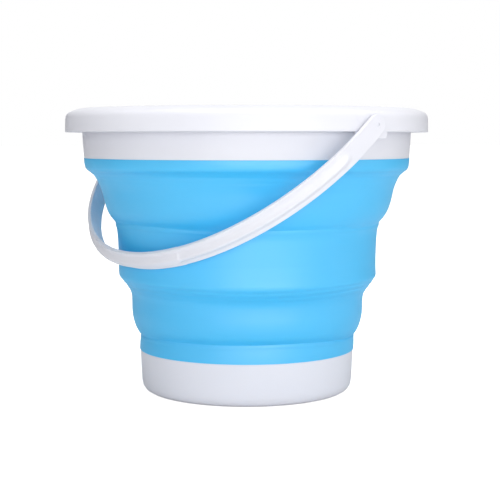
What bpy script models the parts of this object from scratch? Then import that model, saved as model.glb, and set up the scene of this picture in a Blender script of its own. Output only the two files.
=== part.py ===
"""Collapsible camp bucket of about ten litres, standing open with its handle hanging at one side.

A white rim ring, a blue folding wall, a white base cup and a white bail handle. Metres, +Z up. The
origin is on the bucket's axis, at the plane that its foot ring stands on. The handle's pivots lie on
the X axis and the handle hangs towards -Y, against the wall. The wall is one soft moulding, made here
in five sections: two folds that turn inside out, and the three stiffer rings that they join.
"""
import math

import bmesh
import bpy
from mathutils import Matrix, Vector

# Heights of the bands that the bucket is stacked from, from the ground up
CUP_HEIGHT = 0.0376
LOWER_COLLAR_HEIGHT = 0.0114
LOWER_FOLD_HEIGHT = 0.0552
MIDDLE_RING_HEIGHT = 0.0430
UPPER_FOLD_HEIGHT = 0.0538
UPPER_COLLAR_HEIGHT = 0.0060
BAND_HEIGHT = 0.0432

# The rim's outside, which every other radius steps in from
RIM_RADIUS = 0.1600
SKIRT_TAPER = 0.00045
CREST_INSET = 0.0120
BAND_INSET = 0.0148
BAND_TAPER = 0.0002
BAND_FOOT_TAPER = 0.0012

# How far the outside steps in or out from one crease or end to the next, from the rim down
UPPER_COLLAR_LEDGE = 0.0002
UPPER_COLLAR_TAPER = 0.0007
UPPER_OUTER_CREASE_STEP = 0.0003
UPPER_SHOULDER_STEP = 0.0097
UPPER_PANEL_STEP = 0.0074
UPPER_FOOT_STEP = 0.0082
UPPER_INNER_CREASE_STEP = 0.0002
MIDDLE_RING_FLARE = 0.0022
MIDDLE_RING_FOOT_FLARE = 0.0001
LOWER_OUTER_CREASE_STEP = 0.0002
LOWER_SHOULDER_STEP = 0.0115
LOWER_PANEL_STEP = 0.0012
LOWER_FOOT_STEP = 0.0068
LOWER_INNER_CREASE_STEP = 0.0001
LOWER_COLLAR_FLARE = 0.0003
CUP_LEDGE = 0.0006
CUP_TAPER = 0.0025
FOOT_RING_INSET = 0.0190

# Heights of the creases, from the foot of the fold or ring that each belongs to
LOWER_FOLD_INNER_CREASE_RISE = 0.0016
LOWER_FOLD_PANEL_FOOT_RISE = 0.0133
LOWER_FOLD_PANEL_TOP_RISE = 0.0380
LOWER_FOLD_OUTER_CREASE_RISE = 0.0532
MIDDLE_RING_LOWER_WAIST_RISE = 0.0070
MIDDLE_RING_UPPER_WAIST_RISE = 0.0220
UPPER_FOLD_INNER_CREASE_RISE = 0.0016
UPPER_FOLD_PANEL_FOOT_RISE = 0.0134
UPPER_FOLD_PANEL_TOP_RISE = 0.0408
UPPER_FOLD_OUTER_CREASE_RISE = 0.0514

# The soft wall: full on its panels and rings, thinned at the creases that it folds about
WALL = 0.0024
CREASE_WALL = 0.0017
CREASE_ROUNDING = 0.0040
PANEL_ROUNDING = 0.0050

# The over-moulded joints between the hard and the soft plastic
COLLAR_WALL = 0.0036
TONGUE_WALL = 0.0012
UPPER_TONGUE_DEPTH = 0.0036
LOWER_TONGUE_DEPTH = 0.0065

# The gap that is left between pieces that touch
SEAT_GAP = 0.0003

# The rim ring
RIM_WALL = 0.0026
SKIRT_WALL = 0.0022
SKIRT_DROP = 0.0205
SHOULDER_DROP = 0.0043
BAND_SHOULDER_RISE = 0.0190
SHOULDER_ROUNDING = 0.0060
CREST_ROUNDING = 0.0030
LIP_ROUNDING = 0.0024
CHANNEL_ROUNDING = 0.0024
SKIRT_EDGE_ROUNDING = 0.0006
RIB_COUNT = 16
RIB_THICKNESS = 0.0015
RIB_FOOT_RISE = 0.0040

# The ears that carry the handle's pivots, one at each end of the X axis
EAR_WIDTH = 0.0332
EAR_DROP = 0.0049
EAR_WALL = 0.00325
EAR_SET_BACK = 0.00015
EAR_TOP_RISE = 0.0120
EAR_ROUNDING = 0.0032
PIVOT_RISE = 0.0053

# The base cup
CUP_WALL = 0.0024
CUP_FLOOR = 0.0026
CUP_ROUNDING = 0.0124
CUP_INNER_ROUNDING = 0.0095
FOOT_RECESS = 0.0016
FOOT_SLOPE = 0.0014

# The handle: a flat strip with a spine along the middle of its outer face
HANDLE_CLEARANCE = 0.0021
HANDLE_BOW = 0.0018
STRIP_WIDTH = 0.0166
STRIP_THICKNESS = 0.0036
STRIP_CHAMFER = 0.0005
SPINE_HEIGHT = 0.0044
SPINE_FOOT_WIDTH = 0.0100
SPINE_WAIST_WIDTH = 0.0052
SPINE_CREST_WIDTH = 0.0018
SPINE_START = 0.0330
SPINE_RAMP = 0.0120

# The grip in the middle of the handle: a little wider, recessed beside a broader spine, with a web at
# its middle that crosses the recess
GRIP_LENGTH = 0.1190
GRIP_STEP = 0.0005
GRIP_GROWTH = 0.0004
GRIP_CREST_GROWTH = 0.0012
GRIP_RECESS = 0.0007
GRIP_LIP = 0.0016
WEB_WIDTH = 0.0014

# The pivot knobs, which pass through the ears and snap behind them
BOSS_RADIUS = 0.0070
KNOB_RADIUS = 0.0040
KNOB_CLEARANCE = 0.0003
KNOB_HEAD_RADIUS = 0.0054
KNOB_HEAD_LENGTH = 0.0012
KNOB_NOSE_LENGTH = 0.0024
KNOB_NOSE_RADIUS = 0.0030
DIMPLE_RADIUS = 0.0017
DIMPLE_DEPTH = 0.0008
CUT_OVERRUN = 0.0020

# Merge distance of the turned pieces' seams
SEAM_MERGE = 0.00002

# How finely round stretches are divided
TURN_STEPS = 44
KNOB_STEPS = 16
CREASE_ARC_STEPS = 2
ARC_STEPS = 3
FINE_ARC_STEPS = 4
HANDLE_STEPS = 40
LOBE_STEPS = 5
EAR_STEPS = 6
HANG_SEARCH_STEPS = 30
SHARP_TURN = math.radians(35)
LOBE_LAST_SHARE = 0.93
SPINE_WAIST_SHARE = 0.40

# Heights worked out from the bands
LOWER_COLLAR_FOOT = CUP_HEIGHT
LOWER_FOLD_FOOT = LOWER_COLLAR_FOOT + LOWER_COLLAR_HEIGHT
MIDDLE_RING_FOOT = LOWER_FOLD_FOOT + LOWER_FOLD_HEIGHT
UPPER_FOLD_FOOT = MIDDLE_RING_FOOT + MIDDLE_RING_HEIGHT
UPPER_COLLAR_FOOT = UPPER_FOLD_FOOT + UPPER_FOLD_HEIGHT
BAND_FOOT = UPPER_COLLAR_FOOT + UPPER_COLLAR_HEIGHT
RIM_TOP = BAND_FOOT + BAND_HEIGHT
SKIRT_FOOT = RIM_TOP - SKIRT_DROP
PIVOT_HEIGHT = SKIRT_FOOT + PIVOT_RISE
HALF_GAP = SEAT_GAP / 2

# Radii of the outside, from the rim down
SKIRT_TOP_RADIUS = RIM_RADIUS - SKIRT_TAPER
CREST_RADIUS = RIM_RADIUS - CREST_INSET
BAND_TOP_RADIUS = RIM_RADIUS - BAND_INSET
BAND_SHOULDER_RADIUS = BAND_TOP_RADIUS - BAND_TAPER
BAND_FOOT_RADIUS = BAND_SHOULDER_RADIUS - BAND_FOOT_TAPER
UPPER_COLLAR_TOP_RADIUS = BAND_FOOT_RADIUS + UPPER_COLLAR_LEDGE
UPPER_COLLAR_FOOT_RADIUS = UPPER_COLLAR_TOP_RADIUS - UPPER_COLLAR_TAPER
UPPER_FOLD_OUTER_CREASE_RADIUS = UPPER_COLLAR_FOOT_RADIUS - UPPER_OUTER_CREASE_STEP
UPPER_FOLD_PANEL_TOP_RADIUS = UPPER_FOLD_OUTER_CREASE_RADIUS - UPPER_SHOULDER_STEP
UPPER_FOLD_PANEL_FOOT_RADIUS = UPPER_FOLD_PANEL_TOP_RADIUS - UPPER_PANEL_STEP
UPPER_FOLD_INNER_CREASE_RADIUS = UPPER_FOLD_PANEL_FOOT_RADIUS - UPPER_FOOT_STEP
MIDDLE_RING_TOP_RADIUS = UPPER_FOLD_INNER_CREASE_RADIUS - UPPER_INNER_CREASE_STEP
MIDDLE_RING_WAIST_RADIUS = MIDDLE_RING_TOP_RADIUS - MIDDLE_RING_FLARE
MIDDLE_RING_FOOT_RADIUS = MIDDLE_RING_WAIST_RADIUS + MIDDLE_RING_FOOT_FLARE
LOWER_FOLD_OUTER_CREASE_RADIUS = MIDDLE_RING_FOOT_RADIUS - LOWER_OUTER_CREASE_STEP
LOWER_FOLD_PANEL_TOP_RADIUS = LOWER_FOLD_OUTER_CREASE_RADIUS - LOWER_SHOULDER_STEP
LOWER_FOLD_PANEL_FOOT_RADIUS = LOWER_FOLD_PANEL_TOP_RADIUS - LOWER_PANEL_STEP
LOWER_FOLD_INNER_CREASE_RADIUS = LOWER_FOLD_PANEL_FOOT_RADIUS - LOWER_FOOT_STEP
LOWER_COLLAR_TOP_RADIUS = LOWER_FOLD_INNER_CREASE_RADIUS + LOWER_INNER_CREASE_STEP
LOWER_COLLAR_RADIUS = LOWER_COLLAR_TOP_RADIUS + LOWER_COLLAR_FLARE
CUP_TOP_RADIUS = LOWER_COLLAR_RADIUS - CUP_LEDGE
CUP_FOOT_RADIUS = CUP_TOP_RADIUS - CUP_TAPER
FOOT_INNER_RADIUS = CUP_FOOT_RADIUS - FOOT_RING_INSET

# The rolled rim's inner side and the handle's inner face at the pivots
SKIRT_INNER_RADIUS = RIM_RADIUS - SKIRT_WALL
EAR_OUTER_RADIUS = RIM_RADIUS - EAR_SET_BACK
EAR_INNER_RADIUS = EAR_OUTER_RADIUS - EAR_WALL
HANDLE_INNER_RADIUS = RIM_RADIUS + HANDLE_CLEARANCE
HANDLE_INNER_DROP = HANDLE_INNER_RADIUS + HANDLE_BOW

# Colours as they look in daylight, in linear light, with roughness
WHITE_PLASTIC = (0.80, 0.81, 0.86, 1.0)
WHITE_ROUGHNESS = 0.42
BLUE_RUBBER = (0.075, 0.455, 0.830, 1.0)
BLUE_ROUGHNESS = 0.60


def clear_scene():
    """Remove whatever the scene holds."""
    for thing in list(bpy.data.objects):
        bpy.data.objects.remove(thing, do_unlink=True)


def new_material(name, colour, roughness):
    """A plain plastic of one colour."""
    material = bpy.data.materials.new(name)
    material.use_nodes = True
    shader = material.node_tree.nodes["Principled BSDF"]
    shader.inputs["Base Color"].default_value = colour
    shader.inputs["Roughness"].default_value = roughness
    shader.inputs["Metallic"].default_value = 0.0
    material.diffuse_color = colour
    return material


def new_object(name, mesh):
    """An object of this mesh, linked to the scene."""
    thing = bpy.data.objects.new(name, mesh)
    bpy.context.collection.objects.link(thing)
    return thing


def finish_mesh(name, shape):
    """Write a bmesh to a new smooth-shaded mesh with sharp edges where it turns quickly."""
    mesh = bpy.data.meshes.new(name)
    shape.to_mesh(mesh)
    shape.free()
    mesh.shade_smooth()
    mesh.set_sharp_from_angle(angle=SHARP_TURN)
    return mesh


def arc_between(before, corner, after, rounding, steps):
    """The points of a corner's rounding, from the side of the point before to that of the point after."""
    here = Vector(corner)
    back = (Vector(before) - here).normalized()
    ahead = (Vector(after) - here).normalized()
    half_angle = back.angle(ahead) / 2
    reach = rounding / math.tan(half_angle)
    centre = here + (back + ahead).normalized() * (rounding / math.sin(half_angle))
    first = here + back * reach - centre
    last = here + ahead * reach - centre
    start = math.atan2(first.y, first.x)
    sweep = (math.atan2(last.y, last.x) - start + math.pi) % math.tau - math.pi
    turns = [start + sweep * step / steps for step in range(steps + 1)]
    return [(centre.x + rounding * math.cos(turn), centre.y + rounding * math.sin(turn)) for turn in turns]


def rounded_loop(corners):
    """A closed outline: each corner is (radius, height, rounding, arc steps)."""
    points = []
    count = len(corners)
    for index, (radius, height, rounding, steps) in enumerate(corners):
        if rounding == 0:
            points.append((radius, height))
        else:
            before = corners[index - 1][:2]
            after = corners[(index + 1) % count][:2]
            points += arc_between(before, (radius, height), after, rounding, steps)
    return points


def wall_outline(corners):
    """A closed outline of the soft wall, from the (radius, height, rounding, wall) of its outer corners.

    The inner line lies one wall inside the outer one, square to it, and the two ends are level, so that
    sections of the wall meet face to face.
    """
    outer = []
    for index, (radius, height, rounding, wall) in enumerate(corners):
        if rounding == 0:
            outer.append((radius, height, wall))
        else:
            before = corners[index - 1][:2]
            after = corners[index + 1][:2]
            arc = arc_between(before, (radius, height), after, rounding, CREASE_ARC_STEPS)
            outer += [(arc_radius, arc_height, wall) for arc_radius, arc_height in arc]
    inner = []
    last = len(outer) - 1
    for index, (radius, height, wall) in enumerate(outer):
        if index in (0, last):
            inner.append((radius - wall, height))
        else:
            run = Vector(outer[index + 1][:2]) - Vector(outer[index - 1][:2])
            inward = Vector((run.y, -run.x)).normalized()
            inner.append((radius + inward.x * wall, height + inward.y * wall))
    return [point[:2] for point in outer] + inner[::-1]


def turned_mesh(name, outline, closed=True):
    """The wire outline of a turned piece, in the XZ plane at +X."""
    mesh = bpy.data.meshes.new(name)
    edges = [(index, index + 1) for index in range(len(outline) - 1)]
    if closed:
        edges.append((len(outline) - 1, 0))
    mesh.from_pydata([(radius, 0, height) for radius, height in outline], edges, [])
    return mesh


def turn(thing, steps):
    """Turn an object's outline about its own Z axis into a closed body."""
    screw = thing.modifiers.new("turned", "SCREW")
    screw.axis = "Z"
    screw.angle = math.tau
    screw.screw_offset = 0
    screw.steps = steps
    screw.render_steps = steps
    screw.use_merge_vertices = True
    screw.merge_threshold = SEAM_MERGE
    screw.use_smooth_shade = True


def as_guide(thing):
    """Keep an object that only shapes another one out of sight."""
    thing.hide_render = True
    thing.display_type = "WIRE"


def combine(thing, guide, operation):
    """Join a guide's shape to an object, or cut it away, with a live Boolean."""
    boolean = thing.modifiers.new(guide.name, "BOOLEAN")
    boolean.operation = operation
    boolean.object = guide
    boolean.solver = "EXACT"
    as_guide(guide)


def upper_fold_corners():
    """The upper fold's outer line, from the collar down to the middle ring."""
    foot = UPPER_FOLD_FOOT
    return [
        (UPPER_COLLAR_FOOT_RADIUS, UPPER_COLLAR_FOOT - HALF_GAP, 0, WALL),
        (UPPER_FOLD_OUTER_CREASE_RADIUS, foot + UPPER_FOLD_OUTER_CREASE_RISE, CREASE_ROUNDING, CREASE_WALL),
        (UPPER_FOLD_PANEL_TOP_RADIUS, foot + UPPER_FOLD_PANEL_TOP_RISE, PANEL_ROUNDING, WALL),
        (UPPER_FOLD_PANEL_FOOT_RADIUS, foot + UPPER_FOLD_PANEL_FOOT_RISE, PANEL_ROUNDING, WALL),
        (UPPER_FOLD_INNER_CREASE_RADIUS, foot + UPPER_FOLD_INNER_CREASE_RISE, CREASE_ROUNDING, CREASE_WALL),
        (MIDDLE_RING_TOP_RADIUS, foot + HALF_GAP, 0, WALL),
    ]


def middle_ring_corners():
    """The middle ring's outer line: slightly waisted, and flared towards the upper fold."""
    foot = MIDDLE_RING_FOOT
    return [
        (MIDDLE_RING_TOP_RADIUS, UPPER_FOLD_FOOT - HALF_GAP, 0, WALL),
        (MIDDLE_RING_WAIST_RADIUS, foot + MIDDLE_RING_UPPER_WAIST_RISE, 0, WALL),
        (MIDDLE_RING_WAIST_RADIUS, foot + MIDDLE_RING_LOWER_WAIST_RISE, 0, WALL),
        (MIDDLE_RING_FOOT_RADIUS, foot + HALF_GAP, 0, WALL),
    ]


def lower_fold_corners():
    """The lower fold's outer line, from the middle ring down to the lower collar."""
    foot = LOWER_FOLD_FOOT
    return [
        (MIDDLE_RING_FOOT_RADIUS, MIDDLE_RING_FOOT - HALF_GAP, 0, WALL),
        (LOWER_FOLD_OUTER_CREASE_RADIUS, foot + LOWER_FOLD_OUTER_CREASE_RISE, CREASE_ROUNDING, CREASE_WALL),
        (LOWER_FOLD_PANEL_TOP_RADIUS, foot + LOWER_FOLD_PANEL_TOP_RISE, PANEL_ROUNDING, WALL),
        (LOWER_FOLD_PANEL_FOOT_RADIUS, foot + LOWER_FOLD_PANEL_FOOT_RISE, PANEL_ROUNDING, WALL),
        (LOWER_FOLD_INNER_CREASE_RADIUS, foot + LOWER_FOLD_INNER_CREASE_RISE, CREASE_ROUNDING, CREASE_WALL),
        (LOWER_COLLAR_TOP_RADIUS, foot + HALF_GAP, 0, WALL),
    ]


def tongue_radii(face_radius):
    """The outer and inner radius of a tongue in the middle of a collar whose outside is at this radius."""
    middle = face_radius - COLLAR_WALL / 2
    return middle + TONGUE_WALL / 2, middle - TONGUE_WALL / 2


def upper_collar_outline():
    """The collar under the rim: its top holds the rim's tongue in a groove."""
    top = BAND_FOOT - HALF_GAP
    foot = UPPER_COLLAR_FOOT + HALF_GAP
    tongue_outer, tongue_inner = tongue_radii(UPPER_COLLAR_TOP_RADIUS)
    groove_floor = BAND_FOOT + HALF_GAP - UPPER_TONGUE_DEPTH - SEAT_GAP
    inside = UPPER_COLLAR_TOP_RADIUS - COLLAR_WALL
    return [
        (UPPER_COLLAR_TOP_RADIUS, top),
        (UPPER_COLLAR_FOOT_RADIUS, foot),
        (UPPER_COLLAR_FOOT_RADIUS - WALL, foot),
        (inside, groove_floor),
        (inside, top),
        (tongue_inner - SEAT_GAP, top),
        (tongue_inner - SEAT_GAP, groove_floor),
        (tongue_outer + SEAT_GAP, groove_floor),
        (tongue_outer + SEAT_GAP, top),
    ]


def lower_collar_outline():
    """The collar over the base cup: its foot holds the cup's tongue in a groove."""
    top = LOWER_FOLD_FOOT - HALF_GAP
    foot = LOWER_COLLAR_FOOT + HALF_GAP
    tongue_outer, tongue_inner = tongue_radii(LOWER_COLLAR_RADIUS)
    groove_roof = LOWER_COLLAR_FOOT - HALF_GAP + LOWER_TONGUE_DEPTH + SEAT_GAP
    inside = LOWER_COLLAR_RADIUS - COLLAR_WALL
    return [
        (LOWER_COLLAR_TOP_RADIUS, top),
        (LOWER_COLLAR_RADIUS, groove_roof),
        (LOWER_COLLAR_RADIUS, foot),
        (tongue_outer + SEAT_GAP, foot),
        (tongue_outer + SEAT_GAP, groove_roof),
        (tongue_inner - SEAT_GAP, groove_roof),
        (tongue_inner - SEAT_GAP, foot),
        (inside, foot),
        (inside, groove_roof),
        (LOWER_COLLAR_TOP_RADIUS - WALL, top),
    ]


def base_cup_outline():
    """The base cup, from the inside of its floor up its wall, over the tongue and down the outside."""
    tongue_outer, tongue_inner = tongue_radii(LOWER_COLLAR_RADIUS)
    top = CUP_HEIGHT - HALF_GAP
    tongue_top = top + LOWER_TONGUE_DEPTH
    floor = FOOT_RECESS + CUP_FLOOR
    corners = [
        (CUP_FOOT_RADIUS - CUP_WALL, floor, CUP_INNER_ROUNDING, FINE_ARC_STEPS),
        (CUP_TOP_RADIUS - CUP_WALL, top, 0, 0),
        (tongue_inner, top, 0, 0),
        (tongue_inner, tongue_top, 0, 0),
        (tongue_outer, tongue_top, 0, 0),
        (tongue_outer, top, 0, 0),
        (CUP_TOP_RADIUS, top, 0, 0),
        (CUP_FOOT_RADIUS, 0, CUP_ROUNDING, FINE_ARC_STEPS),
        (FOOT_INNER_RADIUS, 0, 0, 0),
        (FOOT_INNER_RADIUS - FOOT_SLOPE, FOOT_RECESS, 0, 0),
        (0, FOOT_RECESS, 0, 0),
        (0, floor, 0, 0),
    ]
    points = rounded_loop(corners)
    return points[-1:] + points[:-1]


def rim_outline():
    """The rim ring: a domed top, a skirt outside, and a band inside that ends in the wall's tongue."""
    shoulder = RIM_TOP - SHOULDER_DROP
    channel_roof = RIM_TOP - RIM_WALL
    band_shoulder = BAND_FOOT + BAND_SHOULDER_RISE
    band_foot = BAND_FOOT + HALF_GAP
    tongue_outer, tongue_inner = tongue_radii(UPPER_COLLAR_TOP_RADIUS)
    tongue_foot = band_foot - UPPER_TONGUE_DEPTH
    return rounded_loop([
        (CREST_RADIUS, RIM_TOP, CREST_ROUNDING, 2),
        (SKIRT_TOP_RADIUS, shoulder, SHOULDER_ROUNDING, FINE_ARC_STEPS),
        (RIM_RADIUS, SKIRT_FOOT, SKIRT_EDGE_ROUNDING, 1),
        (SKIRT_INNER_RADIUS, SKIRT_FOOT, SKIRT_EDGE_ROUNDING, 1),
        (SKIRT_TOP_RADIUS - SKIRT_WALL, shoulder - SKIRT_WALL, CHANNEL_ROUNDING, ARC_STEPS),
        (BAND_TOP_RADIUS, channel_roof, CHANNEL_ROUNDING / 2, 1),
        (BAND_SHOULDER_RADIUS, band_shoulder, 0, 0),
        (BAND_FOOT_RADIUS, band_foot, 0, 0),
        (tongue_outer, band_foot, 0, 0),
        (tongue_outer, tongue_foot, 0, 0),
        (tongue_inner, tongue_foot, 0, 0),
        (tongue_inner, band_foot, 0, 0),
        (BAND_FOOT_RADIUS - RIM_WALL, band_foot, 0, 0),
        (BAND_SHOULDER_RADIUS - RIM_WALL, band_shoulder, 0, 0),
        (BAND_TOP_RADIUS - RIM_WALL, RIM_TOP, LIP_ROUNDING, ARC_STEPS),
    ])


def add_ears():
    """The two curved tabs that hang below the skirt at the pivots and thicken it behind the knobs."""
    shape = bmesh.new()
    foot = SKIRT_FOOT - EAR_DROP
    top = SKIRT_FOOT + EAR_TOP_RISE
    half_turn = EAR_WIDTH / 2 / RIM_RADIUS
    start = Matrix.Rotation(-half_turn, 3, "Z")
    section = [
        (EAR_INNER_RADIUS, foot),
        (EAR_OUTER_RADIUS, foot),
        (EAR_OUTER_RADIUS, top),
        (EAR_INNER_RADIUS, top),
    ]
    verts = [shape.verts.new(start @ Vector((radius, 0, height))) for radius, height in section]
    face = shape.faces.new(verts)
    bmesh.ops.spin(shape, geom=[face] + face.edges[:] + verts, angle=half_turn * 2, steps=EAR_STEPS,
                   axis=(0, 0, 1), cent=(0, 0, 0), use_duplicate=False)
    bmesh.ops.recalc_face_normals(shape, faces=shape.faces[:])

    def at_low_corner(vert):
        beyond = half_turn * RIM_RADIUS - abs(math.atan2(vert.co.y, vert.co.x)) * RIM_RADIUS
        return abs(vert.co.z - foot) < SEAM_MERGE and abs(beyond) < SEAM_MERGE

    corners = [edge for edge in shape.edges if all(at_low_corner(vert) for vert in edge.verts)]
    bmesh.ops.bevel(shape, geom=corners, offset=EAR_ROUNDING, segments=ARC_STEPS, profile=0.5,
                    affect="EDGES", clamp_overlap=True)
    copied = bmesh.ops.duplicate(shape, geom=shape.verts[:] + shape.edges[:] + shape.faces[:])["geom"]
    far = [item for item in copied if isinstance(item, bmesh.types.BMVert)]
    bmesh.ops.rotate(shape, verts=far, cent=(0, 0, 0), matrix=Matrix.Rotation(math.pi, 3, "Z"))
    return new_object("ears", finish_mesh("ears", shape))


def add_rim_ribs():
    """Thin upright ribs across the channel under the rim, set clear of the ears."""
    foot = SKIRT_FOOT + RIB_FOOT_RISE
    shoulder = RIM_TOP - SHOULDER_DROP
    skirt_middle = SKIRT_INNER_RADIUS + SKIRT_WALL / 3
    band_middle = BAND_TOP_RADIUS - RIM_WALL / 2
    outline = [
        (band_middle, foot),
        (skirt_middle, foot),
        (skirt_middle - SKIRT_WALL / 3, shoulder - SKIRT_WALL),
        (CREST_RADIUS, RIM_TOP - RIM_WALL / 2),
        (band_middle, RIM_TOP - RIM_WALL / 2),
    ]
    shape = bmesh.new()
    for index in range(RIB_COUNT):
        spin = Matrix.Rotation(math.tau * (index + 0.5) / RIB_COUNT, 3, "Z")
        near = [shape.verts.new(spin @ Vector((r, -RIB_THICKNESS / 2, z))) for r, z in outline]
        face = shape.faces.new(near)
        grown = bmesh.ops.extrude_face_region(shape, geom=[face])["geom"]
        moved = [item for item in grown if isinstance(item, bmesh.types.BMVert)]
        bmesh.ops.translate(shape, verts=moved, vec=spin @ Vector((0, RIB_THICKNESS, 0)))
    bmesh.ops.recalc_face_normals(shape, faces=shape.faces[:])
    return new_object("rim_ribs", finish_mesh("rim_ribs", shape))


def add_pivot_holes():
    """The cutters for the holes through skirt and ears that the handle's knobs turn in."""
    shape = bmesh.new()
    inside = EAR_INNER_RADIUS - CUT_OVERRUN
    outside = RIM_RADIUS + CUT_OVERRUN
    for side in (-1, 1):
        middle = side * (inside + outside) / 2
        place = Matrix.Translation((middle, 0, PIVOT_HEIGHT)) @ Matrix.Rotation(math.pi / 2, 4, "Y")
        bmesh.ops.create_cone(shape, cap_ends=True, segments=KNOB_STEPS, depth=outside - inside,
                              radius1=KNOB_RADIUS + KNOB_CLEARANCE, radius2=KNOB_RADIUS + KNOB_CLEARANCE,
                              matrix=place)
    return new_object("pivot_holes", finish_mesh("pivot_holes", shape))


def wall_radius_at(height):
    """The outside radius of the bucket's wall at a height, along the straight lines between its corners."""
    line = upper_fold_corners() + middle_ring_corners() + lower_fold_corners()
    for (upper_radius, upper, *_), (lower_radius, lower, *_) in zip(line, line[1:]):
        if lower <= height <= upper and upper > lower:
            share = (height - lower) / (upper - lower)
            return lower_radius + (upper_radius - lower_radius) * share
    return line[0][0] if height > line[0][1] else line[-1][0]


def strip_place(turn_angle):
    """The point of the strip's inner face at this angle along the handle, and the way out from it."""
    cosine = math.cos(turn_angle)
    sine = math.sin(turn_angle)
    point = Vector((HANDLE_INNER_RADIUS * cosine, -HANDLE_INNER_DROP * sine, 0))
    outward = Vector((HANDLE_INNER_DROP * cosine, -HANDLE_INNER_RADIUS * sine, 0))
    return point, outward.normalized()


def hang_clearance(lean):
    """The least gap between the wall and the strip's inner face when the handle leans down by this angle."""
    half_width = STRIP_WIDTH / 2 + GRIP_GROWTH
    tilt = Matrix.Rotation(lean, 3, "X")
    least = RIM_RADIUS
    for step in range(HANDLE_STEPS + 1):
        point, _ = strip_place(math.pi * step / HANDLE_STEPS)
        for across in (-half_width, 0, half_width):
            spot = tilt @ (point + Vector((0, 0, across)))
            height = spot.z + PIVOT_HEIGHT
            if LOWER_FOLD_FOOT < height < UPPER_COLLAR_FOOT:
                least = min(least, math.hypot(spot.x, spot.y) - wall_radius_at(height))
    return least


def hang_angle():
    """How far below level the handle hangs: until its strip comes to rest against the wall."""
    low, high = 0.0, math.pi / 2
    for _ in range(HANG_SEARCH_STEPS):
        middle = (low + high) / 2
        if hang_clearance(middle) > SEAT_GAP:
            low = middle
        else:
            high = middle
    return low


def ramp(distance, start, length):
    """How far along a ramp a distance is, from 0 before it to 1 after it."""
    return min(max((distance - start) / length, 0.0), 1.0)


def strip_section(width_scale, along, from_middle):
    """The strip's outline across the handle, as (across, out) points, inner face first.

    along is the distance from the nearer pivot, and from_middle the distance from the handle's middle.
    """
    spine = ramp(along, SPINE_START, SPINE_RAMP)
    grip = 1 - ramp(from_middle, GRIP_LENGTH / 2, GRIP_STEP)
    web = 1 - ramp(from_middle, WEB_WIDTH / 2, GRIP_STEP)
    half_width = STRIP_WIDTH / 2 + GRIP_GROWTH * grip
    lip = half_width - GRIP_LIP
    face = STRIP_THICKNESS
    floor = face - GRIP_RECESS * grip * (1 - web)
    crest = face + (SPINE_HEIGHT + GRIP_GROWTH * grip) * spine
    waist = face + (crest - face) * SPINE_WAIST_SHARE
    half = [
        (half_width - STRIP_CHAMFER, 0),
        (half_width, STRIP_CHAMFER),
        (half_width, face - STRIP_CHAMFER),
        (half_width - STRIP_CHAMFER, face),
        (lip, face),
        (lip - GRIP_RECESS, floor),
        (SPINE_FOOT_WIDTH / 2 + GRIP_CREST_GROWTH / 2 * grip, floor),
        (SPINE_WAIST_WIDTH / 2 + GRIP_CREST_GROWTH * grip, waist),
        (SPINE_CREST_WIDTH / 2 + GRIP_CREST_GROWTH * grip, crest),
    ]
    half = [(across * width_scale, out) for across, out in half]
    return half + [(-across, out) for across, out in reversed(half)]


def handle_stations():
    """Every cross-section along the handle: a point, the way out from it, and the section there."""
    half_length = HANDLE_INNER_DROP * math.pi / 2
    marks = [
        SPINE_START, SPINE_START + SPINE_RAMP / 2, SPINE_START + SPINE_RAMP,
        half_length - GRIP_LENGTH / 2 - GRIP_STEP, half_length - GRIP_LENGTH / 2,
        half_length - WEB_WIDTH / 2 - GRIP_STEP, half_length - WEB_WIDTH / 2,
    ]
    spacing = half_length * 2 / HANDLE_STEPS
    plain = [spacing * step for step in range(HANDLE_STEPS // 2)]
    kept = [mark for mark in plain if all(abs(mark - other) > spacing / 4 for other in marks)]
    quarter = sorted(kept + marks)
    distances = quarter + [half_length * 2 - mark for mark in reversed(quarter)]
    stations = []
    for distance in distances:
        point, outward = strip_place(distance / half_length * math.pi / 2)
        along = min(distance, half_length * 2 - distance)
        stations.append((point, outward, strip_section(1.0, along, half_length - along)))
    lobes = []
    for step in range(1, LOBE_STEPS + 1):
        swing = math.pi / 2 * LOBE_LAST_SHARE * step / LOBE_STEPS
        beyond = Vector((HANDLE_INNER_RADIUS, STRIP_WIDTH / 2 * math.sin(swing), 0))
        lobes.append((beyond, Vector((1, 0, 0)), strip_section(math.cos(swing), 0, half_length)))
    far_lobes = [(Vector((-point.x, point.y, 0)), -outward, section) for point, outward, section in lobes]
    return lobes[::-1] + stations + far_lobes


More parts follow.
